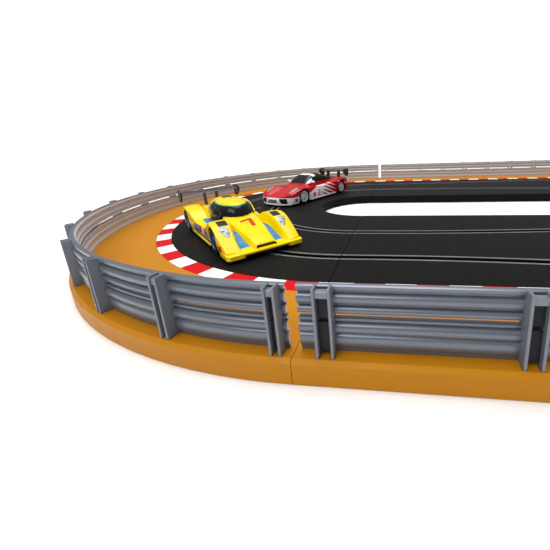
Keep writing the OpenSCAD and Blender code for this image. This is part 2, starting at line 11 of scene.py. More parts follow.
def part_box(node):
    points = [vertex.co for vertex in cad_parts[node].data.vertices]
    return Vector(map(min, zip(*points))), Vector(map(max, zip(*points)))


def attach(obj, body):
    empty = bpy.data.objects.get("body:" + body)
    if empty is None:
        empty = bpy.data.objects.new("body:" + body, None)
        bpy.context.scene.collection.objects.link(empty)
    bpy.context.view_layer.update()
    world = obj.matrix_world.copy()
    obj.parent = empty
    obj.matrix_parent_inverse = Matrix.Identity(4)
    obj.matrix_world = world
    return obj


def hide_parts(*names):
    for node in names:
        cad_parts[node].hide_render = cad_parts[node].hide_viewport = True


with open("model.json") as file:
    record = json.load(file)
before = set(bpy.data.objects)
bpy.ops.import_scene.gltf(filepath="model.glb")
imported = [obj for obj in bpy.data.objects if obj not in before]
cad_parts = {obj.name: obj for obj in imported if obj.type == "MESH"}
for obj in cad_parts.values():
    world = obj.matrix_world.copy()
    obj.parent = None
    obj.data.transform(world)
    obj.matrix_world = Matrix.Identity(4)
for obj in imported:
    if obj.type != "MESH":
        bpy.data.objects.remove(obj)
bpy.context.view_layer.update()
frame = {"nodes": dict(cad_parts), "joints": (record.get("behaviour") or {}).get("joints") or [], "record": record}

MM = 0.001
JOINTS = {j["name"]: j for j in frame["joints"]}

# The oval, in millimetres, read from the frame
TRACK_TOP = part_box("track_straight_front_left")[1][2] / MM
RUN = -JOINTS["yellow_lane_travel"]["pos_m"][0] / MM     # half the distance between the curves' centres
BARRIER_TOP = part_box("barrier_straight_front")[1][2] / MM
BARRIER_R = 226.6       # from a curve's centre to the middle of the barrier's sheet
WELD = 0.004            # points closer than this are one


# ---- small helpers ------------------------------------------------------------------------
def place(name, verts, faces, materials, body, replaced=(), matrix=None, regions=None, sharp=35):
    """Makes a piece from points in millimetres, welds it, shades it and hangs it on its body."""
    mesh = bpy.data.meshes.new(name)
    points = [Vector(v) for v in verts]
    if matrix is not None:
        points = [matrix @ p for p in points]
    mesh.from_pydata([p * MM for p in points], [], faces)
    for m in materials:
        mesh.materials.append(m)
    if regions is not None:
        mesh.polygons.foreach_set("material_index", np.asarray(regions, dtype=np.int32))
    bm = bmesh.new()
    bm.from_mesh(mesh)
    bmesh.ops.remove_doubles(bm, verts=bm.verts, dist=WELD * MM)
    bmesh.ops.recalc_face_normals(bm, faces=bm.faces)
    bm.to_mesh(mesh)
    bm.free()
    mesh.polygons.foreach_set("use_smooth", [True] * len(mesh.polygons))
    mesh.set_sharp_from_angle(angle=math.radians(sharp))
    piece = bpy.data.objects.new(name, mesh)
    bpy.context.scene.collection.objects.link(piece)
    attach(piece, body)
    if replaced:
        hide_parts(*replaced)
    return piece


class Solid:
    """Collects points and faces of several closed forms that make one piece."""

    def __init__(self):
        self.verts = []
        self.faces = []
        self.marks = []

    def add(self, verts, faces, mark=0):
        start = len(self.verts)
        self.verts += [tuple(v) for v in verts]
        self.faces += [tuple(start + i for i in f) for f in faces]
        self.marks += [mark] * len(faces)

    def rings(self, rings, mark=0, closed=False):
        """Joins rings of equally many points into a tube, closed on itself or capped at both ends."""
        n = len(rings[0])
        verts = [v for ring in rings for v in ring]
        count = len(rings)
        faces = []
        for i in range(count if closed else count - 1):
            a, b = i * n, (i + 1) % count * n
            faces += [(a + j, a + (j + 1) % n, b + (j + 1) % n, b + j) for j in range(n)]
        if not closed:
            faces += [tuple(range(n - 1, -1, -1)), tuple((count - 1) * n + j for j in range(n))]
        self.add(verts, faces, mark)

    def block(self, low, high, ease):
        """A box with eased edges: a stack of rounded rectangles, narrower at its ends."""
        (x0, y0, z0), (x1, y1, z1) = low, high
        rings = []
        for z, inset in ((z0, ease), (z0 + ease, 0), (z1 - ease, 0), (z1, ease)):
            a, b, c, d = x0 + inset, x1 - inset, y0 + inset, y1 - inset
            rings.append([(a + ease, c, z), (b - ease, c, z), (b, c + ease, z), (b, d - ease, z),
                          (b - ease, d, z), (a + ease, d, z), (a, d - ease, z), (a, c + ease, z)])
        self.rings(rings)


def lathe(solid, profile, centre, axis_y, segments, mark=0):
    """Turns a closed profile of (along, radius) about the Y axis through centre."""
    rings = []
    for k in range(segments):
        a = 2 * math.pi * k / segments
        rings.append([(centre[0] + r * math.cos(a), centre[1] + axis_y * t, centre[2] + r * math.sin(a))
                      for t, r in profile])
    solid.rings(rings, mark, closed=True)


# ---- materials ----------------------------------------------------------------------------
CLOUD_SCALE = 35.0      # soft changes of colour
CLOUD_DETAIL = 4.0
SCUFF_SCALE = 160.0     # changes of roughness
SCUFF_DETAIL = 6.0
GRAIN_DETAIL = 3.0      # the skin's relief
GRAIN_DEPTH = 0.0002
COAT_ROUGHNESS = 0.08


def noise(tree, space, scale, detail):
    """A noise texture in the object's own space."""
    texture = tree.nodes.new("ShaderNodeTexNoise")
    texture.inputs["Scale"].default_value = scale
    texture.inputs["Detail"].default_value = detail
    tree.links.new(space.outputs["Object"], texture.inputs["Vector"])
    return texture


def add_clouds(tree, space, shader, colour, shade):
    """The colour varies softly, by a share either way."""
    cloud = noise(tree, space, CLOUD_SCALE, CLOUD_DETAIL)
    tint = tree.nodes.new("ShaderNodeMix")
    tint.data_type = "RGBA"
    low = [c * (1 - shade) for c in colour]
    high = [min(1.0, c * (1 + shade)) for c in colour]
    tint.inputs["A"].default_value = (*low, 1)
    tint.inputs["B"].default_value = (*high, 1)
    tree.links.new(cloud.outputs["Fac"], tint.inputs["Factor"])
    tree.links.new(tint.outputs["Result"], shader.inputs["Base Color"])


def add_scuffs(tree, space, shader, rough, scuff):
    """The roughness varies by scuff either way."""
    smear = noise(tree, space, SCUFF_SCALE, SCUFF_DETAIL)
    spread = tree.nodes.new("ShaderNodeMapRange")
    spread.inputs["From Min"].default_value = 0.3
    spread.inputs["From Max"].default_value = 0.7
    spread.inputs["To Min"].default_value = max(0.02, rough - scuff)
    spread.inputs["To Max"].default_value = min(1.0, rough + scuff)
    tree.links.new(smear.outputs["Fac"], spread.inputs["Value"])
    tree.links.new(spread.outputs["Result"], shader.inputs["Roughness"])


def add_grain(tree, space, shader, grain, bump):
    """The fine relief of a moulded skin."""
    skin = noise(tree, space, grain, GRAIN_DETAIL)
    relief = tree.nodes.new("ShaderNodeBump")
    relief.inputs["Strength"].default_value = bump
    relief.inputs["Distance"].default_value = GRAIN_DEPTH
    tree.links.new(skin.outputs["Fac"], relief.inputs["Height"])
    tree.links.new(relief.outputs["Normal"], shader.inputs["Normal"])


def moulded(name, colour, rough, grain, bump, shade, metallic=0.0, coat=0.0, scuff=0.08, spec=0.5):
    """A moulded or painted surface: soft changes of colour, scuffed roughness and a fine grain."""
    mat = bpy.data.materials.new(name)
    mat.use_nodes = True
    tree = mat.node_tree
    shader = tree.nodes["Principled BSDF"]
    shader.inputs["Metallic"].default_value = metallic
    shader.inputs["Coat Weight"].default_value = coat
    shader.inputs["Coat Roughness"].default_value = COAT_ROUGHNESS
    shader.inputs["Specular IOR Level"].default_value = spec
    space = tree.nodes.new("ShaderNodeTexCoord")
    add_clouds(tree, space, shader, colour, shade)
    add_scuffs(tree, space, shader, rough, scuff)
    if bump > 0:
        add_grain(tree, space, shader, grain, bump)
    return mat


YELLOW_PAINT = (0.90, 0.66, 0.0)
RED_PAINT = (0.50, 0.001, 0.006)
BLACK_PAINT = (0.010, 0.010, 0.012)
GLASS = (0.005, 0.007, 0.009)

# Each finish: colour, roughness, scale of the grain, its strength, change of shade, and what else differs
FINISHES = {
    "track_black": ((0.0062, 0.0061, 0.0060), 0.5, 1500, 0.25, 0.08, {"scuff": 0.04, "spec": 0.06}),
    "conductor_metal": ((0.36, 0.36, 0.37), 0.34, 700, 0.1, 0.15, {"metallic": 0.9}),
    "border_orange": ((0.49, 0.192, 0.004), 0.45, 900, 0.1, 0.05, {"spec": 0.16}),
    "kerb_red": ((0.56, 0.001, 0.004), 0.45, 900, 0.06, 0.04, {"spec": 0.1}),
    "kerb_white": ((0.86, 0.86, 0.85), 0.4, 900, 0.06, 0.02, {"spec": 0.2}),
    "barrier_gray": ((0.155, 0.172, 0.205), 0.3, 500, 0, 0.01, {"metallic": 0.45, "scuff": 0.002}),
    # The next finish is the barrier's own gray made paler: painted light for the side that faces the track, not a
    # second plastic.
    "barrier_painted_light_side": ((0.62, 0.63, 0.66), 0.36, 500, 0, 0.03, {"metallic": 0.1, "scuff": 0.005}),
    "post_gray": ((0.18, 0.195, 0.225), 0.38, 500, 0.02, 0.05, {"metallic": 0.2, "scuff": 0.04}),
    "clip_black": ((0.012, 0.012, 0.014), 0.5, 900, 0.3, 0.15, {"spec": 0.2}),
    "contact_brass": ((0.70, 0.50, 0.20), 0.3, 700, 0.1, 0.15, {"metallic": 1.0}),
    "yellow_gloss": (YELLOW_PAINT, 0.22, 500, 0.01, 0.03, {"coat": 0.35, "spec": 0.3}),
    "red_gloss": (RED_PAINT, 0.22, 500, 0.01, 0.05, {"coat": 0.06, "spec": 0.10}),
    "white_gloss": ((0.90, 0.90, 0.92), 0.24, 500, 0.01, 0.03, {"coat": 0.3, "spec": 0.3}),
    "dark_glass": (GLASS, 0.16, 300, 0.005, 0.1, {"coat": 0.1, "scuff": 0.02, "spec": 0.3}),
    "body_black": (BLACK_PAINT, 0.4, 900, 0.06, 0.15, {"spec": 0.25}),
    "wing_black": ((0.014, 0.015, 0.018), 0.3, 700, 0.05, 0.15, {"spec": 0.4}),
    "lamp_silver": ((0.24, 0.28, 0.31), 0.3, 2400, 0.5, 0.3, {"metallic": 0.3, "coat": 0.3}),
    "chassis_gray": ((0.03, 0.03, 0.034), 0.5, 900, 0.3, 0.2, {}),
    "motor_steel": ((0.5, 0.5, 0.52), 0.3, 500, 0.1, 0.1, {"metallic": 1.0}),
    "nylon_white": ((0.75, 0.72, 0.62), 0.45, 900, 0.1, 0.06, {}),
    "axle_steel": ((0.55, 0.55, 0.57), 0.25, 900, 0.1, 0.1, {"metallic": 1.0}),
    "yellow_rim": ((0.02, 0.06, 0.26), 0.25, 500, 0.03, 0.1, {"coat": 0.4}),
    "red_rim": ((0.72, 0.72, 0.75), 0.24, 500, 0.03, 0.06, {"coat": 0.4}),
    "tyre_rubber": ((0.010, 0.010, 0.011), 0.62, 1600, 0.4, 0.25, {"spec": 0.25}),
    "guide_blue": ((0.07, 0.30, 0.72), 0.35, 900, 0.1, 0.1, {}),
    "braid_copper": ((0.55, 0.27, 0.12), 0.4, 3000, 0.8, 0.35, {"metallic": 0.8}),
    "magnet_gray": ((0.16, 0.16, 0.17), 0.5, 900, 0.3, 0.2, {}),
}
MAT = {name: moulded(name, *finish[:-1], **finish[-1]) for name, finish in FINISHES.items()}

SLOT_OF = {row["node"]: row["material_slot"] for row in frame["record"]["subparts"]}
for node_name, node_object in frame["nodes"].items():
    node_object.data.materials.clear()
    node_object.data.materials.append(MAT[SLOT_OF[node_name]])


def add_layer(tree, index, tone, roughness, colour, rough):
    """Lays one tone over the colour and roughness so far, where the layer's field is above zero."""
    field = tree.nodes.new("ShaderNodeAttribute")
    field.attribute_name = "paint_" + str(index)
    covered = tree.nodes.new("ShaderNodeMath")
    covered.operation = "GREATER_THAN"
    covered.inputs[1].default_value = 0.0
    tree.links.new(field.outputs["Fac"], covered.inputs[0])
    over = tree.nodes.new("ShaderNodeMix")
    over.data_type = "RGBA"
    over.inputs["B"].default_value = (*tone, 1)
    tree.links.new(covered.outputs["Value"], over.inputs["Factor"])
    tree.links.new(colour, over.inputs["A"])
    sheen = tree.nodes.new("ShaderNodeMapRange")
    sheen.inputs["From Min"].default_value = 0.0
    sheen.inputs["From Max"].default_value = 1.0
    sheen.inputs["To Max"].default_value = roughness
    tree.links.new(covered.outputs["Value"], sheen.inputs["Value"])
    tree.links.new(rough, sheen.inputs["To Min"])
    return over.outputs["Result"], sheen.outputs["Result"]


def painted(name, base, layers):
    """Gloss paint in layers. A layer covers the places where its field, kept on the mesh, is above zero."""
    mat = moulded(name, base, rough=0.22, grain=500, bump=0.01, shade=0.04, coat=0.1, spec=0.16)
    tree = mat.node_tree
    shader = tree.nodes["Principled BSDF"]
    colour = shader.inputs["Base Color"].links[0].from_socket
    rough = shader.inputs["Roughness"].links[0].from_socket
    for index, (tone, roughness) in enumerate(layers):
        colour, rough = add_layer(tree, index, tone, roughness, colour, rough)
    tree.links.new(colour, shader.inputs["Base Color"])
    tree.links.new(rough, shader.inputs["Roughness"])
    return mat


# The tones of the cars' paint layers: colour and roughness
PAINT = {
    "red": (RED_PAINT, 0.22),
    "white": ((0.88, 0.88, 0.90), 0.24),
    "black": (BLACK_PAINT, 0.4),
    "glass": (GLASS, 0.16),
    "gray": ((0.15, 0.155, 0.17), 0.4),
    "pink": ((0.60, 0.02, 0.14), 0.22),
    "blue": ((0.03, 0.23, 0.50), 0.22),
    "teal": ((0.10, 0.42, 0.16), 0.22),
    "orange": ((0.62, 0.035, 0.005), 0.22),
}


def inside(*parts):
    """Above zero where every part is."""
    return np.minimum.reduce(np.broadcast_arrays(*parts))


def either(*parts):
    """Above zero where any part is."""
    return np.maximum.reduce(np.broadcast_arrays(*parts))


# ---- the oval's sweeps --------------------------------------------------------------------
def arc_stations(side, start, stop, step=1.5):
    """Stations round a curve, each a centre and a direction outwards. side is -1 at the left end and 1
    at the right; angles are counted from the front joint."""
    count = max(2, int(abs(stop - start) / step) + 1)
    out = []
    for a in np.radians(np.linspace(start, stop, count)):
        out.append(((side * RUN, 0.0), (side * math.sin(a), -math.cos(a))))
    return out


def line_stations(back, start, stop, step=60.0):
    """Stations along a straight, from x = start to x = stop."""
    count = max(2, int(abs(stop - start) / step) + 1)
    return [((x, 0.0), (0.0, 1.0 if back else -1.0)) for x in np.linspace(start, stop, count)]


def swept(solid, profile, stations):
    """Sweeps a closed profile of (distance from the middle line, height) along stations."""
    solid.rings([[(c[0] + d * o[0], c[1] + d * o[1], z) for d, z in profile] for c, o in stations])


BAND_STEPS = 8


def band(z_high, z_low, base, bulge):
    """Half an ellipse between two heights, as (distance, height), from the top down."""
    mid, half = (z_high + z_low) / 2, (z_high - z_low) / 2
    angles = [math.pi * i / BAND_STEPS for i in range(BAND_STEPS + 1)]
    return [(base + bulge * math.sin(a), mid + half * math.cos(a)) for a in angles]


SKIN = 1.1                                # thickness of the sheet
BARRIER_H = BARRIER_TOP - TRACK_TOP
FACE = BARRIER_R + SKIN / 2               # the outer face, from a curve's centre


def sheet_profile(face):
    """A closed section from the outer face's points: the inner face runs parallel, one skin inside."""
    inner = [(d - SKIN, z) for d, z in reversed(face)]
    return [(d, z + TRACK_TOP) for d, z in face + inner]


# The outer face from the top down: a rolled rim and two ribs above the slit, a bead and two ribs below it
UPPER_FACE = (
    [(FACE + 0.5, BARRIER_H), (FACE + 1.1, BARRIER_H - 0.3), (FACE + 1.2, BARRIER_H - 1.3),
     (FACE + 0.6, BARRIER_H - 1.8), (FACE, BARRIER_H - 2.1), (FACE, BARRIER_H - 2.7)]
    + band(21.2, 17.3, FACE, 1.75) + [(FACE, 16.9)] + band(16.6, 13.8, FACE, 1.45)
    + [(FACE - 0.1, 13.6)])
LOWER_FACE = (
    [(FACE - 0.1, 12.4), (FACE + 0.7, 12.3), (FACE + 0.85, 11.7), (FACE, 11.2)]
    + band(10.7, 6.6, FACE, 1.75) + [(FACE + 0.2, 6.35)] + band(6.1, 1.5, FACE + 0.35, 0.8)
    + [(FACE + 0.35, 1.0), (FACE + 0.35, 0.0)])
UPPER = sheet_profile(UPPER_FACE)
LOWER = sheet_profile(LOWER_FACE)

POST_INSET = 1.4                          # degrees from a joint to a curve's first post
CURVE_POSTS = 17
BAY = (180 - 2 * POST_INSET) / (CURVE_POSTS - 1)
POST_END = 11.0                           # from a joint to a straight's first post
POST_FIRST = 73.5                         # from a joint to the second
STRAIGHT_POSTS = 9
POST_PITCH = (RUN - POST_END - POST_FIRST) / (STRAIGHT_POSTS - 2)
POST_X = [POST_END] + [POST_FIRST + i * POST_PITCH for i in range(STRAIGHT_POSTS - 1)]
BRIDGE = sheet_profile([(FACE - 0.12, 13.8), (FACE - 0.12, 12.2)])
FIN_T = 1.0                               # thickness of a post's fin
CURVE_GAP = 3.2                           # between a post's two fins
STRAIGHT_GAP = 5.0
SHEET_START, SHEET_STOP = 0.5, 179.5      # degrees round a curve
BRIDGE_START, BRIDGE_STOP = 0.6, 179.4
MIDDLE_GAP = 0.3                          # from the middle of a straight to each section's sheet
JOINT_GAP = 2                             # from a joint to a straight's sheet
RIM_KEPT = 0.1                            # how far past the inner face the outer material reaches

OUTER_Z, OUTER_D = zip(*sorted((z, d) for d, z in UPPER_FACE + LOWER_FACE))


def inner_side(corners, middle_x):
    """1 where a face of the sheet looks towards the track and takes the paler copy of the gray, painted light; 0
    where it looks outwards.
    """
    x, y, z = corners.mean(0)
    away = abs(y) if middle_x is None else math.hypot(x - middle_x, y)
    return int(away < np.interp(z - TRACK_TOP, OUTER_Z, OUTER_D) - SKIN + RIM_KEPT)


def place_barrier(solid, name, middle_x):
    """Makes a barrier's piece. The side that faces the track has a paler copy of the same gray: painted light, for
    the light that falls on that side.
    """
    points = np.array(solid.verts)
    regions = [inner_side(points[list(face)[:4]], middle_x) for face in solid.faces]
    place(name, solid.verts, solid.faces, [MAT["barrier_gray"], MAT["barrier_painted_light_side"]], "set_base",
          (name,), regions=regions)


def barrier_curve(side, name):
    """The two beams of a curve's barrier, joined across the slit behind each post's fins."""
    solid = Solid()
    stations = arc_stations(side, SHEET_START, SHEET_STOP, 1.0)
    swept(solid, UPPER, stations)
    swept(solid, LOWER, stations)
    half = math.degrees(FIN_T / 2 / BARRIER_R)
    for i in range(CURVE_POSTS):
        for fin in (-1, 1):
            a = POST_INSET + i * BAY + fin * math.degrees(CURVE_GAP / 2 / BARRIER_R)
            start, stop = max(BRIDGE_START, a - half), min(BRIDGE_STOP, a + half)
            swept(solid, BRIDGE, arc_stations(side, start, stop))
    place_barrier(solid, name, side * RUN)


def barrier_straight(back, name):
    """The two beams of both sections of a straight barrier."""
    solid = Solid()
    for side in (-1, 1):
        inner, outer = side * MIDDLE_GAP, side * (RUN - JOINT_GAP)
        for profile in (UPPER, LOWER):
            swept(solid, profile, line_stations(back, inner, outer))
        for x in POST_X:
            for fin in (-1, 1):
                middle = side * (RUN - x) + fin * STRAIGHT_GAP / 2
                swept(solid, BRIDGE, line_stations(back, middle - FIN_T / 2, middle + FIN_T / 2))
    place_barrier(solid, name, None)


barrier_curve(-1, "barrier_curve_left")
barrier_curve(1, "barrier_curve_right")
barrier_straight(False, "barrier_straight_front")
barrier_straight(True, "barrier_straight_back")


# ---- posts --------------------------------------------------------------------------------
POST_H = 24.5
POST_OUT = BARRIER_R + 5.4                # the fins' outer edge, from a curve's centre
FIN_EDGE = 0.18                           # the ease of a fin's edges
FIN_GAP = 0.06                            # between a fin and the barrier's face


def fin_outline(inset):
    """Side view of a fin, as (distance, height): the inner edge follows the barrier's face."""
    inner = [(d + FIN_GAP, z) for d, z in reversed(UPPER_FACE[1:] + LOWER_FACE)]
    top, out = POST_H - inset, POST_OUT - inset
    outer = [(FACE + 1.1, top), (out - 0.25, top), (out, top - 0.25), (out, 0.0)]
    return [(d, min(z, top)) for d, z in inner] + outer


def cross_bar():
    """Section of the bar that joins the two fins near their top, as (distance, height)."""
    low, high = BARRIER_H - 3.1, BARRIER_H - 0.6
    inner, outer, ease = POST_OUT - 2.6, POST_OUT - 0.6, 0.3
    return [(inner, low), (outer - ease, low), (outer, low + ease), (outer, high - ease),
            (outer - ease, high), (inner, high)]


def shade_web(low, high):
    """Section of a dark web between the fins, as (distance, height): a dark sheet that paints the shade in the gap
    between the fins.
    """
    inner, outer = POST_OUT - 2.4, POST_OUT - 2.0
    return [(inner, low), (outer, low), (outer, high), (inner, high)]


def add_post(solid, centre, outward, gap):
    """Two fins, the cross bar near their top and the dark webs between them, which paint the shade in the gap
    between the fins.
    """
    along = (-outward[1], outward[0])

    def section(outline, s):
        """An outline of (distance, height) set up across the barrier, s along it from the post's middle."""
        return [(centre[0] + d * outward[0] + s * along[0], centre[1] + d * outward[1] + s * along[1],
                 TRACK_TOP + z) for d, z in outline]

    half = FIN_T / 2
    for side in (-1, 1):
        layers = ((-half, FIN_EDGE), (-half + FIN_EDGE, 0), (half - FIN_EDGE, 0), (half, FIN_EDGE))
        solid.rings([section(fin_outline(inset), side * gap / 2 + s) for s, inset in layers])
    # The webs, mark 1, take the black clip material: dark sheets that paint the shade between the fins.
    for outline, mark in ((cross_bar(), 0), (shade_web(1.5, 12.2), 1), (shade_web(13.8, BARRIER_H - 2), 1)):
        solid.rings([section(outline, s) for s in (-gap / 2, gap / 2)], mark)


def barrier_posts():
    """Every post of the oval: round both curves, then along both straights."""
    solid = Solid()
    for side in (-1, 1):
        for i in range(CURVE_POSTS):
            a = math.radians(POST_INSET + i * BAY)
            add_post(solid, (side * RUN, 0.0), (side * math.sin(a), -math.cos(a)), CURVE_GAP)
        for y in (-1.0, 1.0):
            for x in POST_X:
                add_post(solid, (side * (RUN - x), 0.0), (0.0, y), STRAIGHT_GAP)
    place("barrier_posts", solid.verts, solid.faces, [MAT["post_gray"], MAT["clip_black"]], "set_base",
          ("barrier_posts",), regions=solid.marks)


barrier_posts()


# ---- cars ---------------------------------------------------------------------------------
FRONT_AXLE = -14.5      # from the guide pin
WHEELBASE = 74
RIDE_GAP = 0.2          # between the tyres and the track
ARCH_GAP = 0.6          # between the tyres and the wheel arches
TYRE_INSET = 0.4        # from the body's half width to a tyre's outer face
RIM_SHARE = 0.72        # a rim's radius as a share of the tyre's


class Car:
    """Where one car stands, and the sizes its body is drawn from, in millimetres. In a car's own frame
    X runs forwards from the guide pin, Y to the left and Z up from the track."""

    def __init__(self, name, width, wheel_r, tyre_w):
        self.name = name
        self.width = width
        self.front, self.rear = FRONT_AXLE, FRONT_AXLE - WHEELBASE
        self.wheel_r, self.tyre_w = wheel_r, tyre_w
        self.axle_z = wheel_r + RIDE_GAP
        pin = JOINTS[name + "_drift"]["pos_m"]
        left = Vector(JOINTS[name + "_rear_axle_spin"]["axis"]).normalized()
        forward = Vector((left.y, -left.x, 0))
        self.matrix = Matrix.Identity(4)
        for row in range(3):
            self.matrix[row][0] = forward[row]
            self.matrix[row][1] = left[row]
        self.matrix[0][3], self.matrix[1][3], self.matrix[2][3] = pin[0] / MM, pin[1] / MM, TRACK_TOP


YELLOW = Car("yellow", 50, 8.6, 8.0)
RED = Car("red", 49, 8.4, 7.6)


def curve(points):
    """A smooth function through (x, value) points, flat outside them."""
    xs = np.array([p[0] for p in points], float)
    vs = np.array([p[1] for p in points], float)
    slopes = np.gradient(vs, xs)

    def value(x):
        x = np.clip(x, xs[0], xs[-1])
        i = np.clip(np.searchsorted(xs, x) - 1, 0, len(xs) - 2)
        h = xs[i + 1] - xs[i]
        t = (x - xs[i]) / h
        return ((1 + 2 * t) * (1 - t) ** 2 * vs[i] + t * (1 - t) ** 2 * h * slopes[i]
                + t * t * (3 - 2 * t) * vs[i + 1] + t * t * (t - 1) * h * slopes[i + 1])
    return value


BLEND = 0.4             # rounds the crease where two surfaces cross
BODY_STATIONS = 220     # the body's grid: along, across, and down a side or an end
BODY_COLUMNS = 140
BODY_ROWS = 32
BODY_WALL = 0.7
SIDE_BULGE = 0.5
SILL_TUCK = 0.8
SILL_DROP = 0.05        # the least height of a side above a wheel arch


def blend_max(a, b):
    """The larger of two heights, rounded where they cross."""
    return 0.5 * (a + b + np.sqrt((a - b) ** 2 + BLEND * BLEND))


def dome(distance, power):
    """1 in the middle, 0 at distance 1, with the shoulders of a superellipse."""
    d = np.clip(np.abs(distance), 0, 1)
    return (1 - d ** power) ** (1 / power)


def smooth(t):
    """Smooth step from 0 to 1."""
    t = np.clip(t, 0, 1)
    return t * t * (3 - 2 * t)


def add_grid(solid, x, y, z):
    """Joins a grid of points into four-sided faces."""
    rows, columns = x.shape
    verts = np.stack([x, y, z], -1).reshape(-1, 3)
    faces = [(i * columns + j, i * columns + j + 1, (i + 1) * columns + j + 1, (i + 1) * columns + j)
             for i in range(rows - 1) for j in range(columns - 1)]
    solid.add(verts.tolist(), faces)


def lower_edge(car, x, sill):
    """The height where a body's side ends: the sill, or the wheel arch above it."""
    low = np.full_like(x, sill)
    for centre in (car.front, car.rear):
        reach = (car.wheel_r + ARCH_GAP) ** 2 - (x - centre) ** 2
        low = np.maximum(low, np.where(reach > 0, car.axle_z + np.sqrt(np.maximum(reach, 0)), sill))
    return low


def add_side(solid, car, x, y, z, sill, out):
    """One side, from the top's edge down: it bulges a little and tucks in at the foot."""
    low = np.minimum(lower_edge(car, x, sill), z - SILL_DROP)
    down = np.linspace(0, 1, BODY_ROWS)
    side_z = z[:, None] + (low - z)[:, None] * down[None, :]
    depth = np.clip((z[:, None] - side_z) / np.maximum(z - sill, 1)[:, None], 0, 1)
    side_y = y[:, None] + out * (SIDE_BULGE * np.sin(np.pi * depth) - SILL_TUCK * depth ** 3)
    add_grid(solid, np.repeat(x[:, None], BODY_ROWS, axis=1), side_y, side_z)


def add_end(solid, x, y, z, v, sill, bulge):
    """The nose or the tail, from the top's edge down to the sill."""
    down = np.linspace(0, 1, BODY_ROWS)[:, None]
    end_z = z[None, :] + (sill - z)[None, :] * down
    end_x = x[None, :] + bulge * np.sin(np.pi * down) * (1 - np.abs(v) ** 6)[None, :]
    corner = np.sign(v)[None, :] * np.abs(v[None, :]) ** 12
    end_y = y[None, :] + corner * (SIDE_BULGE * np.sin(np.pi * down) - SILL_TUCK * down ** 3)
    add_grid(solid, end_x, end_y, end_z)


def store_paint(piece, car, paint):
    """Keeps the field of each paint layer on the mesh, worked out in the car's own frame."""
    points = np.empty(3 * len(piece.data.vertices))
    piece.data.vertices.foreach_get("co", points)
    home = np.array(car.matrix.inverted())
    local = points.reshape(-1, 3) / MM @ home[:3, :3].T + home[:3, 3]
    for index, (_, field) in enumerate(paint(*local.T)):
        layer = piece.data.attributes.new("paint_" + str(index), "FLOAT", "POINT")
        layer.data.foreach_set("value", np.ascontiguousarray(field, dtype=np.float32))


def body_shell(car, height, half_width, nose, tail, sill, paint, base, bulge, across=None):
    """A car body as one blanket of faces: across the top, down both sides to the sill or the wheel
    arch, and down the nose and the tail, then thickened inwards."""
    v = np.linspace(-1, 1, BODY_COLUMNS)
    u = np.linspace(0, 1, BODY_STATIONS)[:, None]
    back, front = tail(v)[None, :], nose(v)[None, :]
    x = back + u * (front - back)
    y = across(x, v[None, :], half_width(x)) if across else v[None, :] * half_width(x)
    z = height(x, y)
    solid = Solid()
    add_grid(solid, x, y, z)
    for edge, out in ((0, -1), (-1, 1)):
        add_side(solid, car, x[:, edge], y[:, edge], z[:, edge], sill, out)
    for edge, out in ((-1, 1), (0, -1)):
        add_end(solid, x[edge], y[edge], z[edge], v, sill, out * bulge)
    name = car.name + "_body"
    origin = np.zeros(1)
    tones = [PAINT[tone] for tone, _ in paint(origin, origin, origin)]
    gloss = painted(name + "_paint", base, tones)
    piece = place(name, solid.verts, solid.faces, [gloss], car.name + "_car",
                  (name, car.name + "_windscreen"), car.matrix, sharp=40)
    store_paint(piece, car, paint)
    wall = piece.modifiers.new("wall", "SOLIDIFY")
    wall.thickness = BODY_WALL * MM
    wall.offset = -1


def fit(car, name, solid, materials, replaced=(), regions=None):
    """Makes a piece that is fixed to a car, drawn in the car's own frame."""
    place(name, solid.verts, solid.faces, [MAT[m] for m in materials], car.name + "_car", replaced,
          car.matrix, regions)


def arch_liners(car):
    """Dark wells inside the wheel arches, closed towards the middle of the car."""
    solid = Solid()
    r = car.wheel_r + 0.35
    arc = [math.radians(a) for a in np.linspace(-30, 210, 33)]
    for x in (car.front, car.rear):
        for side in (-1, 1):
            outer = side * (car.width / 2 - 1.2)
            inner = side * (car.width / 2 - car.tyre_w - 2.4)
            wall = inner - side * 0.4
            section = ((r + 0.2, outer), (r, outer), (r, inner), (1.6, inner), (1.6, wall), (r + 0.2, wall))
            solid.rings([[(x + q * math.cos(a), w, car.axle_z + q * math.sin(a)) for a in arc]
                         for q, w in section], closed=True)
    fit(car, car.name + "_arch_liners", solid, ["body_black"])


def tyre_section(half, rim_r, r):
    """A tyre's profile, as (along, radius), with eased shoulders."""
    return [(-half, rim_r + 0.1), (-half, r - 1.3), (-half + 0.35, r - 0.45), (-half + 1.1, r),
            (half - 1.1, r), (half - 0.35, r - 0.45), (half, r - 1.3), (half, rim_r + 0.1)]


def rim_sections(half, rim_r):
    """A rim's barrel, hub and disc: each one's profile, number of segments and mark."""
    barrel = [(-half + 0.4, rim_r - 0.9), (-half + 0.4, rim_r), (half - 0.2, rim_r),
              (half + 0.05, rim_r - 0.25), (half - 0.1, rim_r - 0.75), (half - 1.2, rim_r - 0.95)]
    hub = [(-half + 1.4, 1.02), (-half + 1.4, 2.3), (half - 1.2, 2.3), (half - 0.5, 1.9),
           (half - 0.1, 1.5), (half - 0.1, 1.02)]
    disc = [(-half + 2.2, 2.0), (-half + 2.2, rim_r - 0.6), (-half + 3.0, rim_r - 0.6), (-half + 3.0, 2.0)]
    return (barrel, 56, 0), (hub, 32, 0), (disc, 40, 1)


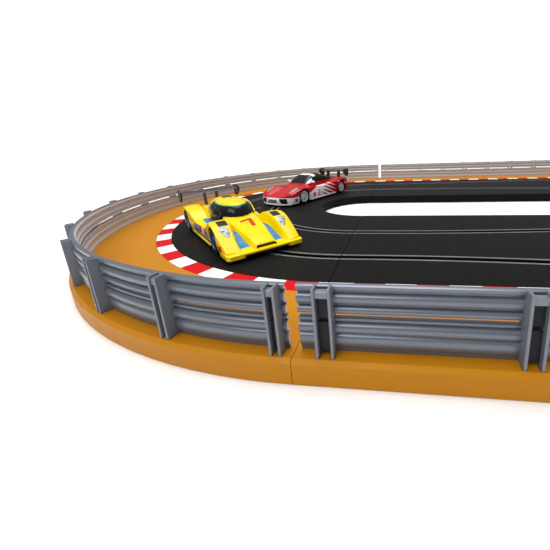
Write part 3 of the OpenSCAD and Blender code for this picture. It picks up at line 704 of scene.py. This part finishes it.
def add_spoke(rim, centre, angle, side, half, rim_r):
    """One spoke from the hub to the barrel, narrower on its outer face."""
    ring = []
    for radius, wide, face in ((1.6, 0.55, -0.45), (rim_r - 0.5, 0.42, -0.7)):
        for s, depth in ((-wide, 0.0), (wide, 0.0), (wide * 0.7, 0.8), (-wide * 0.7, 0.8)):
            px = radius * math.cos(angle) - s * math.sin(angle)
            pz = radius * math.sin(angle) + s * math.cos(angle)
            py = centre[1] + side * (half + face - 0.9 + depth)
            ring.append((centre[0] + px, py, centre[2] + pz))
    rim.rings([ring[:4], ring[4:]])


def wheels(car, axle, x, spokes):
    """One axle's pair of rims and tyres, each rim a dish with spokes and a hub nut."""
    rim, tyre = Solid(), Solid()
    rim_r = car.wheel_r * RIM_SHARE
    half = car.tyre_w / 2
    for side in (-1, 1):
        centre = (x, side * (car.width / 2 - TYRE_INSET - half), car.axle_z)
        lathe(tyre, tyre_section(half, rim_r, car.wheel_r), centre, side, 56)
        for profile, segments, mark in rim_sections(half, rim_r):
            lathe(rim, profile, centre, side, segments, mark)
        for k in range(spokes):
            add_spoke(rim, centre, 2 * math.pi * k / spokes, side, half, rim_r)
    start = f"{car.name}_{axle}_"
    rim_slot = car.name + "_rim"
    place(start + "wheels", rim.verts, rim.faces, [MAT[rim_slot], MAT["body_black"]], start + "wheelset",
          (start + "wheels",), car.matrix, rim.marks)
    place(start + "tyres", tyre.verts, tyre.faces, [MAT["tyre_rubber"]], start + "wheelset",
          (start + "tyres",), car.matrix)


# ---- the yellow prototype: separate fenders, a low nose between them, a bubble cockpit and a tall wing
# Heights of the fenders, the middle ridge and the valleys between, each along the car
Y_FENDER = curve([(-108, 17.4), (-100, 19.2), (-88.5, 20.0), (-78, 18.2), (-66, 12.8), (-50, 11.4),
                  (-40, 12.0), (-31, 16.4), (-25, 19.0), (-19, 19.9), (-14, 19.3), (-9, 17.4), (-5, 15.0),
                  (0, 11.8), (5, 8.6), (9, 5.8), (11, 4.6)])
Y_RIDGE = curve([(-108, 17.0), (-80, 17.6), (-50, 18.6), (-34, 17.8), (-22, 15.6), (-10, 12.8),
                 (2, 9.8), (8, 7.8), (11, 6.8)])
Y_VALLEY = curve([(-108, 15.4), (-70, 11.6), (-50, 10.6), (-34, 11.8), (-20, 11.7), (-11, 10.8),
                  (-5, 7.4), (3, 4.9), (13, 3.4)])
# Half widths of the ridge, of the fenders' inner edges and of the whole body
Y_RIDGE_W = curve([(-108, 9.5), (-60, 10.4), (-30, 11.0), (-18, 9.8), (-6, 8.4), (4, 7.4), (12, 6.8)])
Y_FENDER_IN = curve([(-108, 12.4), (-80, 12.2), (-60, 12.8), (-28, 11.8), (-12, 12.5), (-5, 13.6),
                     (4, 14.4), (12, 14.8)])
Y_HALF_WIDTH = curve([(-108, 23.2), (-98, 24.6), (-88, 25.0), (-74, 24.2), (-50, 22.6), (-34, 23.2),
                      (-15, 24.8), (0, 24.4), (8, 23.6), (13, 22.8)])
BUBBLE_BASE = 12.0
BUBBLE_X = -52          # where the bubble is highest
BUBBLE_RISE = 16.6
BUBBLE_HALF_WIDTH = 14.4
ROUNDING = 1e-6         # lets a column on the boundary of two stretches belong to the first


def yellow_across(x, v, half):
    """Spreads the columns so that some run exactly along both edges of the valleys."""
    marks = (0.0, 0.40, 0.46, 0.62, 0.68, 1.0)
    inner, outer = Y_RIDGE_W(x), Y_FENDER_IN(x)
    lines = (0 * x, inner - 0.9, inner + 0.9, outer - 0.8, outer + 1.8, half)
    out = 0 * x
    size = np.abs(v) + 0 * x
    for k in range(5):
        share = (size - marks[k]) / (marks[k + 1] - marks[k])
        piece = lines[k] + (lines[k + 1] - lines[k]) * share
        out = np.where((size >= marks[k]) & (share <= 1 + ROUNDING), piece, out)
    return out * np.sign(v)


def yellow_bubble(x, a):
    """The bubble cockpit's height at x, and a from the middle. It is longer behind its top."""
    reach = (x - BUBBLE_X) / np.where(x > BUBBLE_X, 23.5, 38.0)
    return BUBBLE_BASE + BUBBLE_RISE * dome(np.sqrt(reach ** 2 + (a / BUBBLE_HALF_WIDTH) ** 2), 2.7)


def yellow_lower(x, y):
    """The body without its bubble: bonnet ridge, valleys and fenders."""
    a = np.abs(y)
    valley = Y_VALLEY(x)
    crown = 1 - 0.10 * np.clip(a / Y_RIDGE_W(x), 0, 1) ** 2
    ridge = valley + (Y_RIDGE(x) - valley) * crown * (1 - smooth((a - Y_RIDGE_W(x) + 0.9) / 1.8))
    shoulder = 0.8 * np.clip((a - 18.0) / 7.0, 0, 1) ** 2.5
    fender = valley + (Y_FENDER(x) - valley) * smooth((a - Y_FENDER_IN(x) + 0.8) / 2.6) - shoulder
    return np.maximum(ridge, fender)


def yellow_height(x, y):
    """The whole top surface of the yellow car."""
    bubble = yellow_bubble(x, np.abs(y))
    return blend_max(yellow_lower(x, y), np.where(bubble > BUBBLE_BASE + 0.01, bubble, 0))


def yellow_nose(v):
    """The front edge, swept back at the fenders and set back between them."""
    return 10.6 - 2.4 * np.abs(v) ** 3 - 1.8 * (1 - smooth((np.abs(v) - 0.34) / 0.1))


def yellow_tail(v):
    """The rear edge, a little shorter at the corners."""
    return -107.2 + 1.2 * np.abs(v) ** 4


def yellow_paint(x, y, z):
    """The yellow car's colours from the bottom layer up, each with the field of the place it covers."""
    a = np.abs(y)
    valley = inside(a - Y_RIDGE_W(x) - 0.6, Y_FENDER_IN(x) - 0.4 - a, x + 27, 10.6 - x, z - 3.2)
    pods = inside(a - 14, 18 - a, -34 - x, x + 66, z - 9)
    side = inside(a - 21, 10.8 - z)
    front_panel = inside(side, -27 - x, x + 35, z - 3.2)
    rear_panel = inside(side, -57 - x, x + 68, z - 3.4)
    vents = inside(3.0 - np.abs(a - 18), x + 18, -10.4 - x, z - 15)
    slot = inside(6.4 - a, x - 7.6, 6.7 - z, z - 5.2)
    top = 25.8 - 0.05 * np.clip(x - BUBBLE_X, -40, 40)
    bubble = inside(x + 61, yellow_bubble(x, a) - yellow_lower(x, y) - 0.3, z - 13)
    behind = inside(13.8 - a, -60 - x, x + 66, z - 17.4, 24.5 - z)
    stroke = inside(1.5 - np.abs(y - 2.4 + (x + 16) * 0.10), x + 25, -13 - x)
    flag = inside(1.4 - np.abs(x + 23.6 + 0.3 * (y - 1.0)), y + 4.0, 4.4 - y)
    numeral = inside(either(stroke, flag), z - 9)
    middle_panel = inside(side, -50 - x, x + 57, z - 5.2)
    decal = inside(a - 20, x + 3, 2.5 - x, z - 4.2, 8.8 - z)
    return [("blue", either(valley, pods, front_panel, rear_panel)),
            ("black", either(vents, slot)),
            ("glass", inside(bubble, top - z)),
            ("teal", inside(bubble, 0.3 - np.abs(z - top - 0.2))),
            ("blue", behind),
            ("orange", either(numeral, middle_panel, decal)),
            ("pink", inside(side, -35 - x, x + 43, z - 4.2)),
            ("white", inside(side, -43 - x, x + 50, z - 4, 9.8 - z))]


def yellow_splitter():
    """Front splitter and side skirts of the yellow car."""
    trim = Solid()
    lip = [(10.6, 24.6), (12.6, 23.0), (13.0, 12.0), (13.0, 0.0), (13.0, -12.0), (12.6, -23.0), (10.6, -24.6),
           (-2.0, -24.6), (-2.0, 24.6)]
    trim.rings([[(px - inset, py * (1 - inset / 25), z) for px, py in lip]
                for z, inset in ((3.9, 0), (4.7, 0), (5.0, 0.3))])
    for side in (-1, 1):
        foot = [(10.6, 24.6), (12.6, 23.0), (13.0, 15.4), (11.5, 13.4), (-2.0, 13.4), (-2.0, 24.6)]
        trim.rings([[(px, side * py, z) for px, py in foot] for z in (2.25, 3.9)])
        trim.block((-76, side * 23.0 - 1.2, 2.25), (-26, side * 23.0 + 1.2, 3.6), 0.3)
    fit(YELLOW, "yellow_splitter", trim, ["yellow_gloss"])


def yellow_fittings():
    """Dark intake under the nose, mirrors, roof intake and rear diffuser of the yellow car."""
    dark = Solid()
    dark.block((7.0, -13.6, 2.3), (12.4, 13.6, 3.9), 0.2)
    for side in (-1, 1):
        dark.block((-38.5, side * 14.0 - 1.6, 17.6), (-37.3, side * 14.0 + 1.6, 18.6), 0.15)
        dark.block((-39.2, side * 16.2 - 1.9, 17.0), (-36.6, side * 16.2 + 1.9, 20.0), 0.4)
    dark.block((-63, -3.6, 26.0), (-54, 3.6, 28.9), 0.8)
    for y in (-12, -4, 4, 12):
        dark.block((-107.6, y - 0.4, 2.3), (-98, y + 0.4, 6.4), 0.15)
    fit(YELLOW, "yellow_fittings", dark, ["wing_black"])


LAMP_RINGS = 10
LAMP_DEPTH = 0.9
LAMP_PROUD = 0.12
REFLECTORS = ((0.8, -1.2), (-0.9, 1.0))                                 # from the lamp's middle
REFLECTOR = ((0.95, 0.0), (0.95, 0.22), (0.6, 0.22), (0.45, 0.05))      # radius and height


def lamp_pair(car, outline, lift, surface):
    """A pair of lamps: a smooth lens that follows the body, with small round reflectors on it."""
    solid = Solid()
    middle = np.mean(np.array(outline), axis=0)
    circle = np.linspace(0, 2 * math.pi, 20, endpoint=False)

    def skin(px, py):
        return float(surface(np.array([px]), np.array([py]))[0])

    for side in (-1, 1):
        rings = []
        for scale in np.linspace(0.02, 1.0, LAMP_RINGS):
            crown = lift * (1 - scale ** 4)
            spots = [middle + (np.array(corner) - middle) * scale for corner in outline]
            rings.append([(px, side * py, skin(px, py) + LAMP_PROUD + crown) for px, py in spots])
        foot = [(px, py, pz - LAMP_DEPTH) for px, py, pz in rings[-1]]
        solid.rings(rings + [foot])
        for px, py in middle + np.array(REFLECTORS):
            z = skin(px, py) + lift + 0.1
            solid.rings([[(px + r * math.cos(a), side * py + r * math.sin(a), z + dz) for a in circle]
                         for r, dz in REFLECTOR], 1)
    name = car.name + "_headlamps"
    fit(car, name, solid, ["lamp_silver", "white_gloss"], (name,), solid.marks)


def rounded(points, passes=2):
    """Cuts the corners of a closed outline to round it."""
    for _ in range(passes):
        out = []
        for i, p in enumerate(points):
            q = points[(i + 1) % len(points)]
            out += [(0.75 * p[0] + 0.25 * q[0], 0.75 * p[1] + 0.25 * q[1]),
                    (0.25 * p[0] + 0.75 * q[0], 0.25 * p[1] + 0.75 * q[1])]
        points = out
    return points


WING_SPANS = 13
WING_POINTS = 18
PLATE_HALF = 0.55       # half the thickness of the end plates and pylons


def rear_wing(car, x, z, chord, span, pylon_y, pylon_low, sweep):
    """An aerofoil plank with end plates, on two pylons. x and z are the plank's rear edge and height."""
    solid = Solid()
    half, front = chord / 2, x + chord
    angles = [2 * math.pi * k / WING_POINTS for k in range(WING_POINTS)]
    section = [(x + half + half * math.cos(a), z + 0.75 * math.sin(a) - 0.05 * math.cos(a) * chord)
               for a in angles]
    solid.rings([[(px, y, pz + 0.4 * (abs(y) / span) ** 2) for px, pz in section]
                 for y in np.linspace(-span, span, WING_SPANS)])
    plate = [(x - 1.0, z - 7.4), (x + half, z - 7.4), (front + 0.8, z - 2.6), (front + 0.8, z + 1.4),
             (front - 1, z + 2.4), (x - 1.0, z + 2.4)]
    pylon = [(x + 2.0, z - 0.3), (front - 2.5, z - 0.3), (front - 2.5 + sweep, pylon_low),
             (x + 1.0 + sweep, pylon_low)]
    for side in (-1, 1):
        for outline, y in ((plate, side * span), (pylon, side * pylon_y)):
            solid.rings([[(px, y + w, pz) for px, pz in outline] for w in (-PLATE_HALF, PLATE_HALF)])
    name = car.name + "_rear_wing"
    fit(car, name, solid, ["wing_black"], (name,))


def yellow_car():
    """The yellow car's body and what is fixed to it."""
    body_shell(YELLOW, yellow_height, Y_HALF_WIDTH, yellow_nose, yellow_tail, 2.6, yellow_paint,
               YELLOW_PAINT, bulge=0.8, across=yellow_across)
    arch_liners(YELLOW)
    yellow_splitter()
    yellow_fittings()
    lamp = rounded([(-9.2, 16.2), (-9.4, 22.2), (-5.4, 21.6), (0.0, 18.6), (-3.2, 16.6)])
    lamp_pair(YELLOW, lamp, 0.25, yellow_height)
    rear_wing(YELLOW, x=-113.2, z=28.6, chord=11.0, span=23.6, pylon_y=5.0, pylon_low=16.4, sweep=3.0)


yellow_car()

# ---- the red GT: long bonnet, short cabin with a pale frame, wide rear fenders and a low black wing
# Heights of the fenders, the middle and the cabin, then the body's half width, each along the car
R_FENDER = curve([(-107, 18.6), (-99, 20.4), (-88, 21.0), (-74, 18.8), (-50, 16.8), (-34, 17.4),
                  (-22, 18.8), (-14, 19.2), (-4, 16.8), (4, 13.2), (9, 10.6), (11, 9.4)])
R_MIDDLE = curve([(-107, 19.8), (-94, 20.2), (-82, 19.6), (-40, 18.8), (-26, 18.2), (-14, 16.2),
                  (-4, 13.9), (4, 11.8), (9, 10.2), (11, 9.4)])
R_CABIN = curve([(-86, 18.0), (-78, 22.8), (-68, 27.2), (-59, 29.7), (-51, 30.0), (-45, 29.2),
                 (-38.5, 25.8), (-32, 21.4), (-27, 17.6)])
R_HALF_WIDTH = curve([(-107, 22.4), (-99, 24.0), (-88, 24.5), (-74, 23.6), (-50, 22.6), (-32, 23.2),
                      (-14, 24.3), (-2, 23.8), (6, 22.2), (11, 20.6)])
CABIN_BASE = 14.0
CABIN_FRONT, CABIN_BACK = -26.5, -86.5


def red_height(x, y):
    """The top surface of the red car: its middle runs into the fenders, and the cabin stands on both."""
    a = np.abs(y)
    fender = R_FENDER(x) * (1 - np.clip((a - 16.0) / 8.8, 0, 1) ** 2.6 * 0.10)
    mix = smooth((a - 7.0) / 6.5)
    lower = R_MIDDLE(x) * (1 - mix) + fender * mix
    half = 18.0 - 3.4 * np.clip((R_CABIN(x) - 18) / 11, 0, 1)
    cabin = CABIN_BASE + (R_CABIN(x) - CABIN_BASE) * dome(a / half, 4.2)
    return blend_max(lower, np.where((x < CABIN_FRONT) & (x > CABIN_BACK), cabin, 0))


def red_paint(x, y, z):
    """The red car's colours from the bottom layer up, each with the field of the place it covers."""
    a = np.abs(y)
    side = a - 20
    bumper = inside(9.8 - z, x + 6)
    door = inside(side, -23 - x, x + 78, 10.5 + 0.36 * (-23 - x) - z, 17.6 - z)
    flame = np.abs(((x + 62) * 0.42 - (z - 9)) % 4.6 - 2.3)
    streak = inside(side, -80 - x, x + 101, 0.6 - np.abs((x + 88) * 0.26 - (z - 15.5)))
    square = inside(side, -31 - x, x + 35.5, z - 5.5, 10 - z)
    bars = inside(side, 2.6 - np.abs(x + 42.5), 0.65 - np.abs((z - 10.0) % 2.6 - 1.3), z - 5.2, 13 - z)
    grille = inside(x - 7.5, 8.2 - z, z - 4.4, 6.4 - a)
    inlet = inside(a - 20.5, x + 3.5, 0.5 - x, z - 4.6, 8.4 - z)
    intake = inside(x + 1, 9.2 - z, z - 3.4, a - 8.8 - (9.2 - z) * 0.5, 18.2 - (z - 3.4) * 0.1 - a)
    cabin = inside(z - 20.3, -28 - x, x + 86, 18.5 - a)
    windscreen = inside(cabin, x + 44.8, -29.8 - x, 12.9 - a, 28.8 - z)
    window = inside(a - 12.6, z - 20.2, 27.2 - z, -38.5 - (z - 19) * 0.6 - x, x + 67, 18.6 - a)
    deck = inside(-64 - x, x + 101, 11.4 - a, z - 17)
    louvres = inside(2.8 - np.abs(a - 6.4), x + 22.5, -15 - x, 0.65 - np.abs((x + 18) % 2.4 - 1.2), z - 10)
    diffuser = inside(-105.6 - x, 10 - z, 15 - a)
    return [("white", either(bumper, door)),
            ("red", inside(side, -46 - (z - 4) * 0.7 - x, x + 80, 0.2 + (-44 - x) * 0.06 - flame)),
            ("white", streak),
            ("pink", either(square, bars)),
            ("gray", either(grille, inlet)),
            ("black", either(intake, cabin)),
            ("white", inside(cabin, x + 50)),
            ("glass", either(windscreen, window)),
            ("black", either(deck, louvres, diffuser))]


def red_nose(v):
    """The front edge, rounded back towards the fenders."""
    return 10.4 - 7.0 * np.abs(v) ** 2.6


def red_tail(v):
    """The rear edge, shorter at the corners."""
    return -106.4 + 2.2 * np.abs(v) ** 3


def red_splitter():
    """Splitter lip, mirrors and side skirts of the red car."""
    pale = Solid()
    edge = [(red_nose(w) + 1.0, w * 21.4) for w in np.linspace(-1, 1, 25)]
    plate = edge + [(-3.0, 21.4), (-3.0, -21.4)]
    pale.rings([[(px, py, z) for px, py in plate] for z in (2.2, 3.1)])
    for side in (-1, 1):
        pale.block((-38.5, side * 18.6 - 2.6, 20.4), (-35.4, side * 18.6 + 2.6, 23.2), 0.8)
        pale.block((-77, side * 22.8 - 0.9, 2.2), (-26, side * 22.8 + 0.9, 3.6), 0.3)
    fit(RED, "red_splitter", pale, ["white_gloss"])


def red_car():
    """The red car's body and what is fixed to it."""
    body_shell(RED, red_height, R_HALF_WIDTH, red_nose, red_tail, 2.4, red_paint, RED_PAINT, bulge=1.2)
    arch_liners(RED)
    lamp = rounded([(-10.5, 16.6), (-9.5, 20.6), (-2.0, 20.2), (4.0, 16.4), (-2.0, 15.4)])
    lamp_pair(RED, lamp, 0.2, red_height)
    rear_wing(RED, x=-111.2, z=28.2, chord=10.0, span=20.6, pylon_y=9.0, pylon_low=18.6, sweep=2.0)
    red_splitter()


red_car()

for each_car, spoke_count in ((YELLOW, 8), (RED, 10)):
    wheels(each_car, "front", each_car.front, spoke_count)
    wheels(each_car, "rear", each_car.rear, spoke_count)

# ---- floor, light and camera --------------------------------------------------------------
WORLD_LOW = 0.22                    # the world's strength level with the track, and high up
WORLD_HIGH = 0.55
WORLD_HIGH_UP = 0.7                 # the upward share of the direction where it is at its highest
SUN_DIRECTION = (0.08, -0.22, -1.0)
SUN_STRENGTH = 2.35
SUN_SPREAD = 0.8
KEY_PLACE = (-0.9, -1.3, 1.5)
KEY_TARGET = (-0.25, 0, 0)
KEY_SIZE = (1.2, 0.8)
KEY_POWER = 14
FLOOR_HALF = 6                      # metres
FLOOR_Z = -0.0002                   # just below the set's foot

SENSOR = 36
LENS = 19.12582
LENS_SHIFT = (-0.157636, -0.107818)
CAMERA_OFFSET = (0.034596, -0.30843, 0.07596)       # metres, from the left curve's centre
YAW, PITCH, ROLL = -0.1312, -0.2506, -0.0375        # radians


def stage_floor():
    """A plain pale floor."""
    mesh = bpy.data.meshes.new("floor")
    h, z = FLOOR_HALF, FLOOR_Z
    mesh.from_pydata([(-h, -h, z), (h, -h, z), (h, h, z), (-h, h, z)], [], [(0, 1, 2, 3)])
    floor = bpy.data.objects.new("floor", mesh)
    bpy.context.scene.collection.objects.link(floor)
    pale = moulded("floor_pale", (0.92, 0.92, 0.92), rough=0.8, grain=50, bump=0, shade=0.01, scuff=0.02,
                   spec=0.1)
    mesh.materials.append(pale)


def aim(light, direction):
    """Turns a lamp to shine along a direction and adds it to the scene."""
    light.rotation_euler = Vector(direction).to_track_quat("-Z", "Y").to_euler()
    bpy.context.scene.collection.objects.link(light)


def key_light():
    """The soft box, in front and to the left."""
    data = bpy.data.lights.new("key", "AREA")
    data.shape = "RECTANGLE"
    data.size, data.size_y = KEY_SIZE
    data.energy = KEY_POWER
    light = bpy.data.objects.new("key", data)
    light.location = KEY_PLACE
    aim(light, Vector(KEY_TARGET) - Vector(KEY_PLACE))


def overhead_light():
    """The wide light from above."""
    data = bpy.data.lights.new("overhead", "SUN")
    data.energy = SUN_STRENGTH
    data.angle = SUN_SPREAD
    aim(bpy.data.objects.new("overhead", data), SUN_DIRECTION)


def studio():
    """A room that is white to the camera and dimmer as a light, most of all level with the track."""
    scene = bpy.context.scene
    scene.view_settings.view_transform = "Standard"
    world = bpy.data.worlds.new("studio")
    world.use_nodes = True
    nodes, links = world.node_tree.nodes, world.node_tree.links
    direction = nodes.new("ShaderNodeTexCoord")
    split = nodes.new("ShaderNodeSeparateXYZ")
    fade = nodes.new("ShaderNodeMapRange")
    fade.inputs["From Min"].default_value = 0.0
    fade.inputs["From Max"].default_value = WORLD_HIGH_UP
    fade.inputs["To Min"].default_value = WORLD_LOW
    fade.inputs["To Max"].default_value = WORLD_HIGH
    seen = nodes.new("ShaderNodeLightPath")
    lift = nodes.new("ShaderNodeMath")
    lift.operation = "MAXIMUM"
    links.new(direction.outputs["Generated"], split.inputs["Vector"])
    links.new(split.outputs["Z"], fade.inputs["Value"])
    links.new(fade.outputs["Result"], lift.inputs[0])
    links.new(seen.outputs["Is Camera Ray"], lift.inputs[1])
    links.new(lift.outputs["Value"], nodes["Background"].inputs["Strength"])
    nodes["Background"].inputs["Color"].default_value = (1, 1, 1, 1)
    scene.world = world


def camera():
    """The view: low in front of the left curve, looking across it towards the back straight."""
    forward = Vector((math.sin(YAW) * math.cos(PITCH), math.cos(YAW) * math.cos(PITCH), math.sin(PITCH)))
    flat = Vector((math.cos(YAW), -math.sin(YAW), 0))
    right = math.cos(ROLL) * flat + math.sin(ROLL) * flat.cross(forward)
    up = right.cross(forward)
    data = bpy.data.cameras.new("camera")
    data.sensor_width = SENSOR
    data.lens = LENS
    data.shift_x, data.shift_y = LENS_SHIFT
    data.clip_start = 0.01
    cam = bpy.data.objects.new("camera", data)
    matrix = Matrix((right, up, -forward)).transposed().to_4x4()
    matrix.translation = Vector(CAMERA_OFFSET) - Vector((RUN * MM, 0, 0))
    cam.matrix_world = matrix
    bpy.context.scene.collection.objects.link(cam)
    bpy.context.scene.camera = cam


stage_floor()
studio()
overhead_light()
key_light()
camera()
